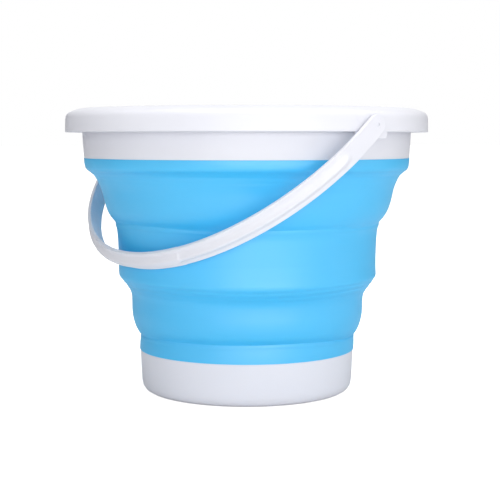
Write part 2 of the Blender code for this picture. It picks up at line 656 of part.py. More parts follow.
def add_knobs():
    """The boss, shaft, head and nose at each pivot, turned about X."""
    tip = EAR_INNER_RADIUS - KNOB_CLEARANCE - KNOB_HEAD_LENGTH - KNOB_NOSE_LENGTH
    head_foot = EAR_INNER_RADIUS - KNOB_CLEARANCE
    boss_foot = RIM_RADIUS + KNOB_CLEARANCE
    root = HANDLE_INNER_RADIUS + STRIP_THICKNESS / 2
    rings = [
        (root, BOSS_RADIUS),
        (boss_foot, BOSS_RADIUS),
        (boss_foot, KNOB_RADIUS),
        (head_foot, KNOB_RADIUS),
        (head_foot, KNOB_HEAD_RADIUS),
        (head_foot - KNOB_HEAD_LENGTH, KNOB_HEAD_RADIUS),
        (tip, KNOB_NOSE_RADIUS),
    ]
    shape = bmesh.new()
    for side in (-1, 1):
        loops = []
        for reach, radius in rings:
            angles = [math.tau * step / KNOB_STEPS for step in range(KNOB_STEPS)]
            spots = [Vector((side * reach, radius * math.cos(a), radius * math.sin(a))) for a in angles]
            verts = [shape.verts.new(spot) for spot in spots]
            loops.append([shape.edges.new((verts[i - 1], verts[i])) for i in range(KNOB_STEPS)])
        for first, second in zip(loops, loops[1:]):
            bmesh.ops.bridge_loops(shape, edges=first + second)
        bmesh.ops.contextual_create(shape, geom=loops[0])
        bmesh.ops.contextual_create(shape, geom=loops[-1])
    bmesh.ops.recalc_face_normals(shape, faces=shape.faces[:])
    return new_object("knobs", finish_mesh("knobs", shape))


def add_dimples():
    """The cutters for the shallow round mark in the middle of each pivot's outer face."""
    shape = bmesh.new()
    face = HANDLE_INNER_RADIUS + STRIP_THICKNESS
    depth = DIMPLE_DEPTH + CUT_OVERRUN
    for side in (-1, 1):
        place = Matrix.Translation((side * (face - DIMPLE_DEPTH + depth / 2), 0, 0))
        bmesh.ops.create_cone(shape, cap_ends=True, segments=KNOB_STEPS, depth=depth, radius1=DIMPLE_RADIUS,
                              radius2=DIMPLE_RADIUS, matrix=place @ Matrix.Rotation(math.pi / 2, 4, "Y"))
    return new_object("dimples", finish_mesh("dimples", shape))


def add_handle(parent, material):
    """The bail handle, lofted through its cross-sections, with its knobs joined on."""
    shape = bmesh.new()
    rings = []
    for point, outward, section in handle_stations():
        spots = [point + outward * out + Vector((0, 0, across)) for across, out in section]
        rings.append([shape.verts.new(spot) for spot in spots])
    for ring, following in zip(rings, rings[1:]):
        for index in range(len(ring)):
            shape.faces.new((ring[index - 1], ring[index], following[index], following[index - 1]))
    shape.faces.new(rings[0])
    shape.faces.new(rings[-1])
    bmesh.ops.recalc_face_normals(shape, faces=shape.faces[:])
    handle = new_object("handle", finish_mesh("handle", shape))
    handle.data.materials.append(material)
    handle.parent = parent
    for guide, operation in ((add_knobs(), "UNION"), (add_dimples(), "DIFFERENCE")):
        guide.parent = parent
        combine(handle, guide, operation)
    return handle


def add_turned(name, outline, parent, material, closed=True):
    """A turned piece whose outline is in the bucket's own heights, carried by its body's empty."""
    foot = parent.matrix_world.translation.z if parent else 0
    lowered = [(radius, height - foot) for radius, height in outline]
    thing = new_object(name, turned_mesh(name, lowered, closed))
    thing.data.materials.append(material)
    thing.parent = parent
    turn(thing, TURN_STEPS)
    return thing


def add_empty(name, parent, location, lean=0.0):
    """An empty that carries one moving body, placed on its joint's axis."""
    empty = new_object(name, None)
    empty.parent = parent
    above = parent.matrix_world.translation.z if parent else 0
    empty.location = (location[0], location[1], location[2] - above)
    empty.rotation_euler.x = lean
    bpy.context.view_layer.update()
    return empty


def build():
    """Build the whole bucket."""
    clear_scene()
    middle_body = add_empty("middle_body", None, (0, 0, MIDDLE_RING_FOOT))
    rim_body = add_empty("rim_body", middle_body, (0, 0, UPPER_COLLAR_FOOT))
    handle_body = add_empty("handle_body", rim_body, (0, 0, PIVOT_HEIGHT), hang_angle())

    add_turned("base_cup", base_cup_outline(), None,
               new_material("base_cup_plastic", WHITE_PLASTIC, WHITE_ROUGHNESS), closed=False)
    add_turned("wall_lower_collar", lower_collar_outline(), None,
               new_material("lower_collar_rubber", BLUE_RUBBER, BLUE_ROUGHNESS))
    add_turned("wall_lower_fold", wall_outline(lower_fold_corners()), None,
               new_material("lower_fold_rubber", BLUE_RUBBER, BLUE_ROUGHNESS))
    add_turned("wall_middle_ring", wall_outline(middle_ring_corners()), middle_body,
               new_material("middle_ring_rubber", BLUE_RUBBER, BLUE_ROUGHNESS))
    add_turned("wall_upper_fold", wall_outline(upper_fold_corners()), middle_body,
               new_material("upper_fold_rubber", BLUE_RUBBER, BLUE_ROUGHNESS))
    add_turned("wall_upper_collar", upper_collar_outline(), rim_body,
               new_material("upper_collar_rubber", BLUE_RUBBER, BLUE_ROUGHNESS))

    rim = add_turned("rim_ring", rim_outline(), rim_body,
                     new_material("rim_plastic", WHITE_PLASTIC, WHITE_ROUGHNESS))
    combine(rim, add_ears(), "UNION")
    combine(rim, add_rim_ribs(), "UNION")
    combine(rim, add_pivot_holes(), "DIFFERENCE")

    add_handle(handle_body, new_material("handle_plastic", WHITE_PLASTIC, WHITE_ROUGHNESS))
    print("The handle hangs", round(math.degrees(hang_angle()), 2), "degrees below level")


build()
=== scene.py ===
"""The looks of a collapsible camp bucket, standing open on a white studio floor.

Metres, +Z up, in the frame of the construction model: the handle turns about an axis along X and hangs
towards -Y. The soft wall is made as two smooth turned meshes that meet edge to edge in the straight
part of the middle ring, so that each can bend across one of the two folds.
"""
import math

import bmesh
import bpy
import numpy as np
from mathutils import Matrix, Vector


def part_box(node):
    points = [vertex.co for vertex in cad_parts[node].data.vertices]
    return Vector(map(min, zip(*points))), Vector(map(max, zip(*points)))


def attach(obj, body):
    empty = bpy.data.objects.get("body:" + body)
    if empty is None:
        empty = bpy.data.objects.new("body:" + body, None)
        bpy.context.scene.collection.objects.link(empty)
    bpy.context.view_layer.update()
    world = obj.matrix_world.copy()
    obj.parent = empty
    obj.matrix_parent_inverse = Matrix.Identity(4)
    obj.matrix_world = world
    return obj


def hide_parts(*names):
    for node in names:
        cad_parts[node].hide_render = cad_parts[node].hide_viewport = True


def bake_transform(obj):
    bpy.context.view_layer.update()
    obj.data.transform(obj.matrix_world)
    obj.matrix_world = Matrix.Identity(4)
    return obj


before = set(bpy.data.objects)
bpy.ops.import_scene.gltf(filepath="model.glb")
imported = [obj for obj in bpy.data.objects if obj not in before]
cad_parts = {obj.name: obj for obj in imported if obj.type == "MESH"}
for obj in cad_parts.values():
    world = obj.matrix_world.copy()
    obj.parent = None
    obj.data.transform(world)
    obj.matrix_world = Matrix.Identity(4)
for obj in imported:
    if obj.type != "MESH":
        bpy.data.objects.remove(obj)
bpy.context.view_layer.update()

# Heights of the bands, read from the construction model, whose wall sections stand one gap apart
GAP = 0.0003
LOWER_FOLD_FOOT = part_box("wall_lower_fold")[0].z - GAP / 2
MIDDLE_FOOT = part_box("wall_middle_ring")[0].z - GAP / 2
UPPER_FOLD_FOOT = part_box("wall_upper_fold")[0].z - GAP / 2
BAND_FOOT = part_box("wall_upper_collar")[1].z + GAP / 2
RIM_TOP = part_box("rim_ring")[1].z
CUP_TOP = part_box("wall_lower_collar")[0].z - GAP / 2
SEAM_RISE = 0.0155
SEAM_HEIGHT = MIDDLE_FOOT + SEAM_RISE
BAND_SHOULDER_RISE = 0.0190
BAND_SHOULDER_HEIGHT = BAND_FOOT + BAND_SHOULDER_RISE

# Radii of the outside, as in the construction model, but for the cup's foot, the lower collar and the
# waist, which follow the photograph
CUP_FOOT_RADIUS = 0.0936
CUP_TOP_RADIUS = 0.0955
LOWER_COLLAR_RADIUS = 0.0960
WAIST_RADIUS = 0.1149
UPPER_COLLAR_RADIUS = 0.1440
BAND_FOOT_RADIUS = 0.1438
BAND_SHOULDER_RADIUS = 0.1450
BAND_TOP_RADIUS = 0.1452
RIM_RADIUS = 0.1600
SKIRT_TOP_RADIUS = 0.15955
CREST_RADIUS = 0.1480

# Walls
WALL = 0.0024
CREASE_WALL = 0.0017
COLLAR_WALL = 0.0036
RIM_WALL = 0.0026
SKIRT_WALL = 0.0022

# The cup's wall, floor and foot ring, and how far from each corner its rounding starts
CUP_WALL = 0.0024
CUP_FLOOR = 0.0026
CUP_LIP_TAPER = 0.0008
FOOT_RECESS = 0.0016
FOOT_INNER_RADIUS = 0.0740
FOOT_SLOPE = 0.0014
CUP_INSIDE_ROUNDING = 0.0095
CUP_LIP_INNER_ROUNDING = 0.0006
CUP_LIP_OUTER_ROUNDING = 0.0005
CUP_FOOT_ROUNDING = 0.0185
FOOT_RING_ROUNDING = 0.0008

# The rim's skirt and pivots, and how far from each corner its rounding starts
SKIRT_DROP = 0.0205
SHOULDER_DROP = 0.0043
SKIRT_FOOT = RIM_TOP - SKIRT_DROP
PIVOT_RISE = 0.0053
PIVOT_HEIGHT = SKIRT_FOOT + PIVOT_RISE
CREST_ROUNDING = 0.0030
SHOULDER_ROUNDING = 0.0046
SKIRT_EDGE_ROUNDING = 0.0006
CHANNEL_ROUNDING = 0.0026
CHANNEL_CORNER_ROUNDING = 0.0014
BAND_ROUNDING = 0.0060
BAND_EDGE_ROUNDING = 0.0004
MOUTH_ROUNDING = 0.0024

# The ears below the skirt and the ribs under the rim
EAR_WIDTH = 0.0332
EAR_DROP = 0.0057
EAR_WALL = 0.00325
EAR_SET_BACK = 0.00015
EAR_TOP_RISE = 0.0120
EAR_ROUNDING = 0.0029
EAR_BEVEL = 0.0004
EAR_STEPS = 24
RIB_COUNT = 16
RIB_THICKNESS = 0.0015
RIB_FOOT_RISE = 0.0040

# The handle's place: its clearance from the rim, how much it bows, and how far below level it hangs
HANDLE_CLEARANCE = 0.0021
HANDLE_BOW = 0.0018
LEAN = math.radians(42.55)
HANDLE_INNER_RADIUS = RIM_RADIUS + HANDLE_CLEARANCE
HANDLE_INNER_DROP = HANDLE_INNER_RADIUS + HANDLE_BOW

# The handle's strip, its spine and its round ends
STRIP_WIDTH = 0.0170
STRIP_THICKNESS = 0.0036
STRIP_ROUNDING = 0.0007
SPINE_HEIGHT = 0.0044
SPINE_START = 0.0330
SPINE_RAMP = 0.0120
SPINE_FOOT_HALF_WIDTH = 0.0050
SPINE_WAIST_HALF_WIDTH = 0.0026
SPINE_WAIST_SHARE = 0.40
SPINE_CREST_HALF_WIDTH = 0.0009
SPINE_ROUNDING = 0.0012
SPINE_CREST_ROUNDING = 0.0006
LOBE_STEPS = 12
LOBE_SHARE = 0.985

# The grip in the handle's middle: how much it grows, and the shallow recess that a web crosses
GRIP_LENGTH = 0.1190
GRIP_STEP = 0.0016
GRIP_GROWTH = 0.0003
GRIP_SPINE_FOOT_GROWTH = 0.0006
GRIP_SPINE_GROWTH = 0.0012
GRIP_RECESS = 0.00025
GRIP_LIP = 0.0016
GRIP_LIP_SLOPE = 0.0005
GRIP_LIP_ROUNDING = 0.0004
WEB_WIDTH = 0.0014

# The handle's pivot knobs and the dimples outside them
BOSS_RADIUS = 0.0070
BOSS_ROUNDING = 0.0004
KNOB_RADIUS = 0.0040
KNOB_CLEARANCE = 0.0003
KNOB_ROOT_ROUNDING = 0.0003
KNOB_END_ROUNDING = 0.0002
KNOB_HEAD_RADIUS = 0.0054
KNOB_HEAD_LENGTH = 0.0012
KNOB_HEAD_ROUNDING = 0.0003
KNOB_SHOULDER_ROUNDING = 0.0006
KNOB_NOSE_LENGTH = 0.0024
KNOB_NOSE_RADIUS = 0.0030
KNOB_NOSE_ROUNDING = 0.0008
DIMPLE_RADIUS = 0.0017
DIMPLE_DEPTH = 0.0008

# The soft wall's outer line, as (radius, height above the fold's foot, reach of the rounding, wall)
UPPER_PROFILE = (
    (0.1438, 0.0556, 0.0015, COLLAR_WALL),
    (0.1431, 0.0517, 0.0018, 0.0026),
    (0.1417, 0.0496, 0.0010, CREASE_WALL),
    (0.1360, 0.0453, 0.0010, 0.0020),
    (0.1345, 0.0431, 0.0014, WALL),
    (0.1302, 0.0342, 0.0040, WALL),
    (0.1283, 0.0263, 0.0036, WALL),
    (0.1270, 0.0207, 0.0030, WALL),
    (0.1247, 0.0136, 0.0032, WALL),
    (0.1214, 0.0083, 0.0024, 0.0020),
    (0.1182, 0.0048, 0.0007, CREASE_WALL),
    (0.1178, 0.0036, 0.0006, CREASE_WALL),
    (0.1171, 0.0011, 0.0012, 0.0020),
    (0.1160, -0.0042, 0.0022, WALL),
    (0.1153, -0.0140, 0.0050, WALL),
)
LOWER_PROFILE = (
    (0.1149, 0.0600, 0.0040, WALL),
    (0.1150, 0.0562, 0.0020, WALL),
    (0.1147, 0.0542, 0.0016, 0.0020),
    (0.1134, 0.0524, 0.0009, CREASE_WALL),
    (0.1100, 0.0480, 0.0012, CREASE_WALL),
    (0.1073, 0.0442, 0.0020, 0.0020),
    (0.1048, 0.0403, 0.0020, WALL),
    (0.1036, 0.0366, 0.0024, WALL),
    (0.1032, 0.0310, 0.0030, WALL),
    (0.1031, 0.0222, 0.0030, WALL),
    (0.1022, 0.0160, 0.0030, WALL),
    (0.1003, 0.0096, 0.0024, 0.0020),
    (0.0978, 0.0048, 0.0018, CREASE_WALL),
    (0.0955, 0.0019, 0.0007, CREASE_WALL),
    (0.0956, -0.0008, 0.0006, 0.0020),
    (0.0960, -0.0056, 0.0030, COLLAR_WALL),
)

# How far the soft wall has given towards one side: everywhere, and more in places (height, spread, more)
WALL_GIVE = 0.0004
GIVE_SWELLS = ((0.0955, 0.0085, 0.0008), (0.1710, 0.0160, 0.0007))
GIVE_AZIMUTH = math.radians(51)

# Slow waves of the soft wall, as (waves round, phase, turn for each metre up, depth), and the distance
# from the wall's ends over which they and the give fade out
FLEX_WAVES = ((2, 0.7, 9, 0.00022), (3, -1.1, -14, 0.00016), (7, 0, 60, 0.00006), (11, 2, -45, 0.00004))
FLEX_FADE = 0.012

# Where the creases run up or down a little as they go round, as (height, spread, rise, azimuth of it)
CREASE_RISES = (
    (0.0509, 0.0060, 0.0028, math.radians(-39)),
    (0.1000, 0.0090, -0.0021, math.radians(-39)),
    (0.1512, 0.0080, -0.0014, math.radians(-14)),
    (0.1952, 0.0055, 0.0012, math.radians(-39)),
)

# A ripple on that rise, as (waves round, turn for each metre up, share of the rise)
CREASE_RIPPLE = (5, 40, 0.10)

# Fine ridges and grooves beside the creases, as (height, spread, depth)
CREASE_LINES = (
    (0.0511, 0.0008, -0.00028), (0.0488, 0.0010, 0.00014),
    (0.0914, 0.0009, -0.00009), (0.0938, 0.0009, 0.00009), (0.0962, 0.0008, -0.00018),
    (0.0986, 0.0009, 0.00016), (0.1011, 0.0008, -0.00024),
    (0.1482, 0.0010, 0.00016), (0.1509, 0.0008, -0.00024),
    (0.1879, 0.0009, -0.00010), (0.1902, 0.0009, 0.00010), (0.1953, 0.0010, -0.00026),
)

# How these lines deepen and fade as they go round, as (waves round, turn from one line to the next,
# share of the depth), and how they wander up and down, with a distance in the share's place
LINE_STRENGTHS = ((3, 1.7, 0.35), (8, 2.9, 0.25))
LINE_WANDER = (5, 0.8, 0.0004)

# Heights between which the creases and their lines lie, where the wall's mesh is finer
CREASE_ZONES = ((0.0470, 0.0530), (0.0900, 0.1040), (0.1460, 0.1530), (0.1860, 0.1990))

# Fineness, and the largest share of a line that the rounding at one of its ends may take up
TURN_STEPS = 224
LINE_SPACING = 0.0014
CREASE_SPACING = 0.00045
STATION_SPACING = 0.0022
CORNER_STEPS = 4
KNOB_STEPS = 40
SHARP_TURN = math.radians(38)
ON_AXIS = 0.00003
ROUNDING_SHARE = 0.49

# Colours in linear light, and the slightly darker ones that the plastics' drift to
WHITE = (0.80, 0.805, 0.86)
WHITE_DRIFT = (0.78, 0.785, 0.845)
BLUE = (0.016, 0.520, 0.940)
BLUE_DRIFT = (0.014, 0.505, 0.915)
FLOOR_COLOUR = (0.76, 0.76, 0.77)
FLOOR_ROUGHNESS = 0.9
FLOOR_GLOSS = 0.1

# Fineness of the plastics' slow drift, sheen and scuffs, the levels of noise over which each goes from
# least to most, and how the scuffs are stretched and turned
DRIFT_SCALE = 9.0
DRIFT_LEVELS = (0.35, 0.65)
SHEEN_SCALE = 26.0
SHEEN_LEVELS = (0.3, 0.7)
SCUFF_SCALE = 60.0
SCUFF_LEVELS = (0.62, 0.74)
SCUFF_STRETCH = (1.0, 1.0, 7.0)
SCUFF_TURN = (0.5, 0.3, 0.0)
SCUFF_ROUGHNESS = 0.08

# The camera, as fitted to the photograph
CAMERA_AZIMUTH = math.radians(51.2)
CAMERA_YAW = math.radians(0.15)
CAMERA_PITCH = math.radians(5.0)
CAMERA_DISTANCE = 1.1384
CAMERA_HEIGHT = 0.2242
CAMERA_LENS = 91.7
CAMERA_SENSOR = 36.0

# The floor and the light: lamps as (name, azimuth, elevation, width, height, power)
FLOOR_REACH = 30.0
FLOOR_DROP = 0.0001
FLOOR_GLOW = 0.85
HORIZON_LIGHT = 0.04
OVERHEAD_LIGHT = 0.75
LAMP_DISTANCE = 2.0
LAMPS = (
    ("key", 62, 6, 2.8, 0.7, 22.8),
    ("left", -10, 10, 1.3, 1.3, 3.1),
    ("side", 135, 12, 1.3, 1.3, 4.8),
    ("top", 60, 80, 1.3, 1.3, 22.5),
    ("back", 231, 15, 1.3, 1.3, 4),
)


def corner_curve(before, corner, after, reach):
    """A smooth turn from the line before a corner to the line after it, starting this far from it."""
    before, corner, after = (np.array(point, float) for point in (before, corner, after))
    back = before - corner
    ahead = after - corner
    back_length = np.linalg.norm(back)
    ahead_length = np.linalg.norm(ahead)
    cut = min(reach, back_length * ROUNDING_SHARE, ahead_length * ROUNDING_SHARE)
    start = corner + back / back_length * cut
    end = corner + ahead / ahead_length * cut
    shares = np.linspace(0, 1, CORNER_STEPS + 1)[:, None]
    return (1 - shares) ** 2 * start + 2 * shares * (1 - shares) * corner + shares ** 2 * end


def smooth_line(corners, closed):
    """The points of a line of (across, up, reach) corners, each turned smoothly."""
    points = []
    count = len(corners)
    for index, (across, up, reach) in enumerate(corners):
        at_end = not closed and index in (0, count - 1)
        if reach == 0 or at_end:
            points.append(np.array([[across, up]]))
        else:
            before = corners[index - 1][:2]
            after = corners[(index + 1) % count][:2]
            points.append(corner_curve(before, (across, up), after, reach))
    return np.concatenate(points)


def even_line(points, spacing, zones=()):
    """The same line with long stretches divided, more finely between the heights of each zone."""
    made = [points[:1]]
    for start, end in zip(points, points[1:]):
        height = (start[1] + end[1]) / 2
        in_zone = any(low < height < high for low, high in zones)
        longest = CREASE_SPACING if in_zone else spacing
        pieces = max(1, math.ceil(np.linalg.norm(end - start) / longest))
        shares = np.linspace(0, 1, pieces + 1)[1:, None]
        made.append(start + (end - start) * shares)
    return np.concatenate(made)


def walled(points, walls):
    """Close an outer line, from top to foot, with an inner line one wall inside it."""
    run = np.gradient(points, axis=0)
    run[0] = (0, -1)
    run[-1] = (0, -1)
    inward = np.stack([run[:, 1], -run[:, 0]], axis=1)
    inward /= np.linalg.norm(inward, axis=1)[:, None]
    return np.concatenate([points, (points + inward * walls[:, None])[::-1]])


def skin(shape, rings):
    """Join each ring of points to the next with faces. Corners that are the same point count once."""
    for ring, following in zip(rings, rings[1:]):
        for index in range(len(ring)):
            corners = [ring[index - 1], ring[index], following[index], following[index - 1]]
            kept = list(dict.fromkeys(corners))
            if len(kept) > 2:
                shape.faces.new(kept)


def turned_shape(outline, flex=None, rise=None):
    """A closed outline of (radius, height) points turned about Z. Points on the axis are merged.

    flex and rise move each point out or up, by its angle and its height.
    """
    shape = bmesh.new()
    angles = np.arange(TURN_STEPS) * math.tau / TURN_STEPS
    rings = []
    for radius, height in outline:
        if radius < ON_AXIS:
            rings.append([shape.verts.new((0, 0, height))] * TURN_STEPS)
            continue
        radii = radius + (flex(angles, height) if flex else np.zeros(TURN_STEPS))
        heights = height + (rise(angles, height) if rise else np.zeros(TURN_STEPS))
        spots = zip(radii * np.cos(angles), radii * np.sin(angles), heights)
        rings.append([shape.verts.new(spot) for spot in spots])
    skin(shape, rings + rings[:1])
    return shape


def new_piece(name, shape, material):
    """Turn a bmesh into a smooth-shaded object of this material."""
    mesh = bpy.data.meshes.new(name)
    bmesh.ops.recalc_face_normals(shape, faces=shape.faces[:])
    shape.to_mesh(mesh)
    shape.free()
    mesh.shade_smooth()
    mesh.set_sharp_from_angle(angle=SHARP_TURN)
    mesh.materials.append(material)
    piece = bpy.data.objects.new(name, mesh)
    bpy.context.collection.objects.link(piece)
    return piece


def keep_rest_places(piece):
    """Store each point's place at rest, so that the surface's grain stays put when the piece bends."""
    places = np.zeros(len(piece.data.vertices) * 3, np.float32)
    piece.data.vertices.foreach_get("co", places)
    stored = piece.data.attributes.new("rest_place", "FLOAT_VECTOR", "POINT")
    stored.data.foreach_set("vector", places)


def wall_flex(angles, height):
    """How far the soft wall stands off its true circle: waves, a give to one side, and fine lines."""
    fade = min((height - CUP_TOP) / FLEX_FADE, (BAND_FOOT - height) / FLEX_FADE, 1.0)
    flex = np.zeros(len(angles))
    for count, phase, climb, depth in FLEX_WAVES:
        flex += np.sin(angles * count + phase + height * climb) * depth
    give = WALL_GIVE
    for middle, spread, more in GIVE_SWELLS:
        give += more * math.exp(-((height - middle) / spread) ** 2)
    flex += give * np.cos(angles - GIVE_AZIMUTH)
    lines = np.zeros(len(angles))
    wander_count, wander_turn, wander_size = LINE_WANDER
    for index, (middle, spread, depth) in enumerate(CREASE_LINES):
        strength = np.ones(len(angles))
        for count, turn, share in LINE_STRENGTHS:
            strength += share * np.sin(angles * count + index * turn)
        away = height - middle + wander_size * np.sin(angles * wander_count + index * wander_turn)
        lines += depth * strength * np.exp(-(away / spread) ** 2)
    return flex * max(fade, 0.0) + lines


def wall_rise(angles, height):
    """How far up each point of the soft wall lies from its level, because its creases wander."""
    rise = np.zeros(len(angles))
    count, climb, share = CREASE_RIPPLE
    for middle, spread, amount, azimuth in CREASE_RISES:
        near = math.exp(-((height - middle) / spread) ** 2)
        ripple = share * np.sin(angles * count + middle * climb)
        rise += amount * near * (np.cos(angles - azimuth) ** 2 + ripple)
    return rise


def wall_part(name, corners, material):
    """A stretch of the soft wall from its outer corners (radius, height, reach, wall), top to foot."""
    points = smooth_line([corner[:3] for corner in corners], closed=False)
    points = even_line(points, LINE_SPACING, CREASE_ZONES)
    heights = [corner[1] for corner in reversed(corners)]
    walls = np.interp(points[:, 1], heights, [corner[3] for corner in reversed(corners)])
    return new_piece(name, turned_shape(walled(points, walls), wall_flex, wall_rise), material)


def raised(profile, foot):
    """A profile's corners at their real heights."""
    return [(radius, foot + rise, reach, wall) for radius, rise, reach, wall in profile]


def upper_wall(material):
    """The wall from the rim down to the seam in the middle ring."""
    top = (UPPER_COLLAR_RADIUS, BAND_FOOT + GAP / 2, 0, COLLAR_WALL)
    foot = (WAIST_RADIUS, SEAM_HEIGHT, 0, WALL)
    return wall_part("soft_wall_upper", [top, *raised(UPPER_PROFILE, UPPER_FOLD_FOOT), foot], material)


def lower_wall(material):
    """The wall from the seam in the middle ring down to the base cup."""
    top = (WAIST_RADIUS, SEAM_HEIGHT, 0, WALL)
    foot = (LOWER_COLLAR_RADIUS, CUP_TOP - GAP / 2, 0, COLLAR_WALL)
    return wall_part("soft_wall_lower", [top, *raised(LOWER_PROFILE, LOWER_FOLD_FOOT), foot], material)


def base_cup(material):
    """The hard cup, with its rounded foot, foot ring and recessed underside."""
    inside = FOOT_RECESS + CUP_FLOOR
    top = CUP_TOP - GAP / 2
    outline = smooth_line([
        (CUP_FOOT_RADIUS - CUP_WALL, inside, CUP_INSIDE_ROUNDING),
        (CUP_TOP_RADIUS - CUP_WALL - CUP_LIP_TAPER, top, CUP_LIP_INNER_ROUNDING),
        (CUP_TOP_RADIUS, top, CUP_LIP_OUTER_ROUNDING),
        (CUP_FOOT_RADIUS, 0, CUP_FOOT_ROUNDING),
        (FOOT_INNER_RADIUS, 0, FOOT_RING_ROUNDING),
        (FOOT_INNER_RADIUS - FOOT_SLOPE, FOOT_RECESS, FOOT_RING_ROUNDING),
        (0, FOOT_RECESS, 0),
        (0, inside, 0),
    ], closed=True)
    body = even_line(outline[:-2], LINE_SPACING * 2)
    return new_piece("cup_shell", turned_shape(np.concatenate([body, outline[-2:]])), material)


def rim_outline():
    """The rim ring's outline: domed top, skirt, open channel and band."""
    shoulder = RIM_TOP - SHOULDER_DROP
    band_foot = BAND_FOOT + GAP / 2
    outline = smooth_line([
        (CREST_RADIUS, RIM_TOP, CREST_ROUNDING),
        (SKIRT_TOP_RADIUS, shoulder, SHOULDER_ROUNDING),
        (RIM_RADIUS, SKIRT_FOOT, SKIRT_EDGE_ROUNDING),
        (RIM_RADIUS - SKIRT_WALL, SKIRT_FOOT, SKIRT_EDGE_ROUNDING),
        (SKIRT_TOP_RADIUS - SKIRT_WALL, shoulder - SKIRT_WALL, CHANNEL_ROUNDING),
        (BAND_TOP_RADIUS, RIM_TOP - RIM_WALL, CHANNEL_CORNER_ROUNDING),
        (BAND_SHOULDER_RADIUS, BAND_SHOULDER_HEIGHT, BAND_ROUNDING),
        (BAND_FOOT_RADIUS, band_foot, BAND_EDGE_ROUNDING),
        (BAND_FOOT_RADIUS - RIM_WALL, band_foot, BAND_EDGE_ROUNDING),
        (BAND_SHOULDER_RADIUS - RIM_WALL, BAND_SHOULDER_HEIGHT, BAND_ROUNDING),
        (BAND_TOP_RADIUS - RIM_WALL, RIM_TOP, MOUTH_ROUNDING),
    ], closed=True)
    closed_line = even_line(np.concatenate([outline, outline[:1]]), LINE_SPACING * 1.5)
    return closed_line[:-1]


def round_cutter(name, reaches, radius):
    """A pair of cylinders on the pivot axis, at +X and -X, between these reaches from the middle.

    Each is turned half a step, so that none of its corners falls on an edge of the piece that it cuts.
    """
    shape = bmesh.new()
    upright = Matrix.Rotation(math.pi / 2, 4, "Y") @ Matrix.Rotation(math.pi / KNOB_STEPS, 4, "Z")
    for side in (-1, 1):
        middle = side * sum(reaches) / 2
        place = Matrix.Translation((middle, 0, PIVOT_HEIGHT)) @ upright
        bmesh.ops.create_cone(shape, cap_ends=True, segments=KNOB_STEPS, depth=reaches[1] - reaches[0],
                              radius1=radius, radius2=radius, matrix=place)
    mesh = bpy.data.meshes.new(name)
    shape.to_mesh(mesh)
    shape.free()
    guide = bpy.data.objects.new(name, mesh)
    bpy.context.collection.objects.link(guide)
    return guide


def cut_away(piece, guide):
    """Cut a guide's shape out of a piece for good, and delete the guide."""
    cut = piece.modifiers.new("cut", "BOOLEAN")
    cut.operation = "DIFFERENCE"
    cut.solver = "EXACT"
    cut.object = guide
    bpy.context.view_layer.update()
    evaluated = piece.evaluated_get(bpy.context.evaluated_depsgraph_get())
    mesh = bpy.data.meshes.new_from_object(evaluated)
    piece.modifiers.clear()
    piece.data = mesh
    bpy.data.objects.remove(guide)


def rim_ring(material):
    """The rim ring with the holes that the handle's knobs turn in."""
    piece = new_piece("rim_shell", turned_shape(rim_outline()), material)
    reaches = (RIM_RADIUS - SKIRT_WALL * 2, RIM_RADIUS + SKIRT_WALL)
    cut_away(piece, round_cutter("skirt_holes", reaches, KNOB_RADIUS + KNOB_CLEARANCE))
    return piece


def ear(name, side, material):
    """The curved tab below the skirt at one pivot, with rounded low corners."""
    half = EAR_WIDTH / 2
    foot = SKIRT_FOOT - EAR_DROP
    top = SKIRT_FOOT + EAR_TOP_RISE
    edge = smooth_line([
        (-half, top, 0),
        (-half, foot, EAR_ROUNDING),
        (half, foot, EAR_ROUNDING),
        (half, top, 0),
    ], closed=False)[1:-1]
    across = np.linspace(-half, half, EAR_STEPS + 1)[1:-1]
    feet = np.interp(across, edge[:, 0], edge[:, 1])
    columns = [(-half, edge[0][1]), *zip(across, feet), (half, edge[-1][1])]
    outer = RIM_RADIUS - EAR_SET_BACK
    inner = outer - EAR_WALL
    shape = bmesh.new()
    rings = []
    for along, low_edge in columns:
        turn = along / outer
        outward = Vector((side * math.cos(turn), math.sin(turn), 0))
        section = [
            (inner, top),
            (inner, low_edge + EAR_BEVEL),
            (inner + EAR_BEVEL, low_edge),
            (outer - EAR_BEVEL, low_edge),
            (outer, low_edge + EAR_BEVEL),
            (outer, top),
        ]
        rings.append([shape.verts.new(outward * radius + Vector((0, 0, z))) for radius, z in section])
    skin(shape, rings)
    shape.faces.new(rings[0])
    shape.faces.new(rings[-1])
    piece = new_piece(name, shape, material)
    reaches = (inner - EAR_WALL, outer + EAR_WALL)
    cut_away(piece, round_cutter(name + "_hole", reaches, KNOB_RADIUS + KNOB_CLEARANCE))
    return piece


def rim_ribs(material):
    """Thin upright ribs across the channel under the rim."""
    foot = SKIRT_FOOT + RIB_FOOT_RISE
    inner = BAND_TOP_RADIUS - RIM_WALL / 2
    outer = RIM_RADIUS - SKIRT_WALL / 2
    roof = RIM_TOP - SHOULDER_DROP - SKIRT_WALL
    outline = [
        (inner, foot),
        (outer, foot),
        (outer - SKIRT_WALL / 3, roof),
        (CREST_RADIUS, RIM_TOP - RIM_WALL / 2),
        (inner, RIM_TOP - RIM_WALL / 2),
    ]
    shape = bmesh.new()
    for index in range(RIB_COUNT):
        spin = Matrix.Rotation(math.tau * (index + 0.5) / RIB_COUNT, 3, "Z")
        rings = []
        for across in (-RIB_THICKNESS / 2, RIB_THICKNESS / 2):
            spots = [spin @ Vector((radius, across, height)) for radius, height in outline]
            rings.append([shape.verts.new(spot) for spot in spots])
        skin(shape, rings)
        shape.faces.new(rings[0])
        shape.faces.new(rings[-1])
    return new_piece("rim_ribs", shape, material)


def ramp(distance, start, length):
    """0 before a ramp, 1 after it, and a smooth rise between."""
    share = min(max((distance - start) / length, 0.0), 1.0)
    return share * share * (3 - 2 * share)


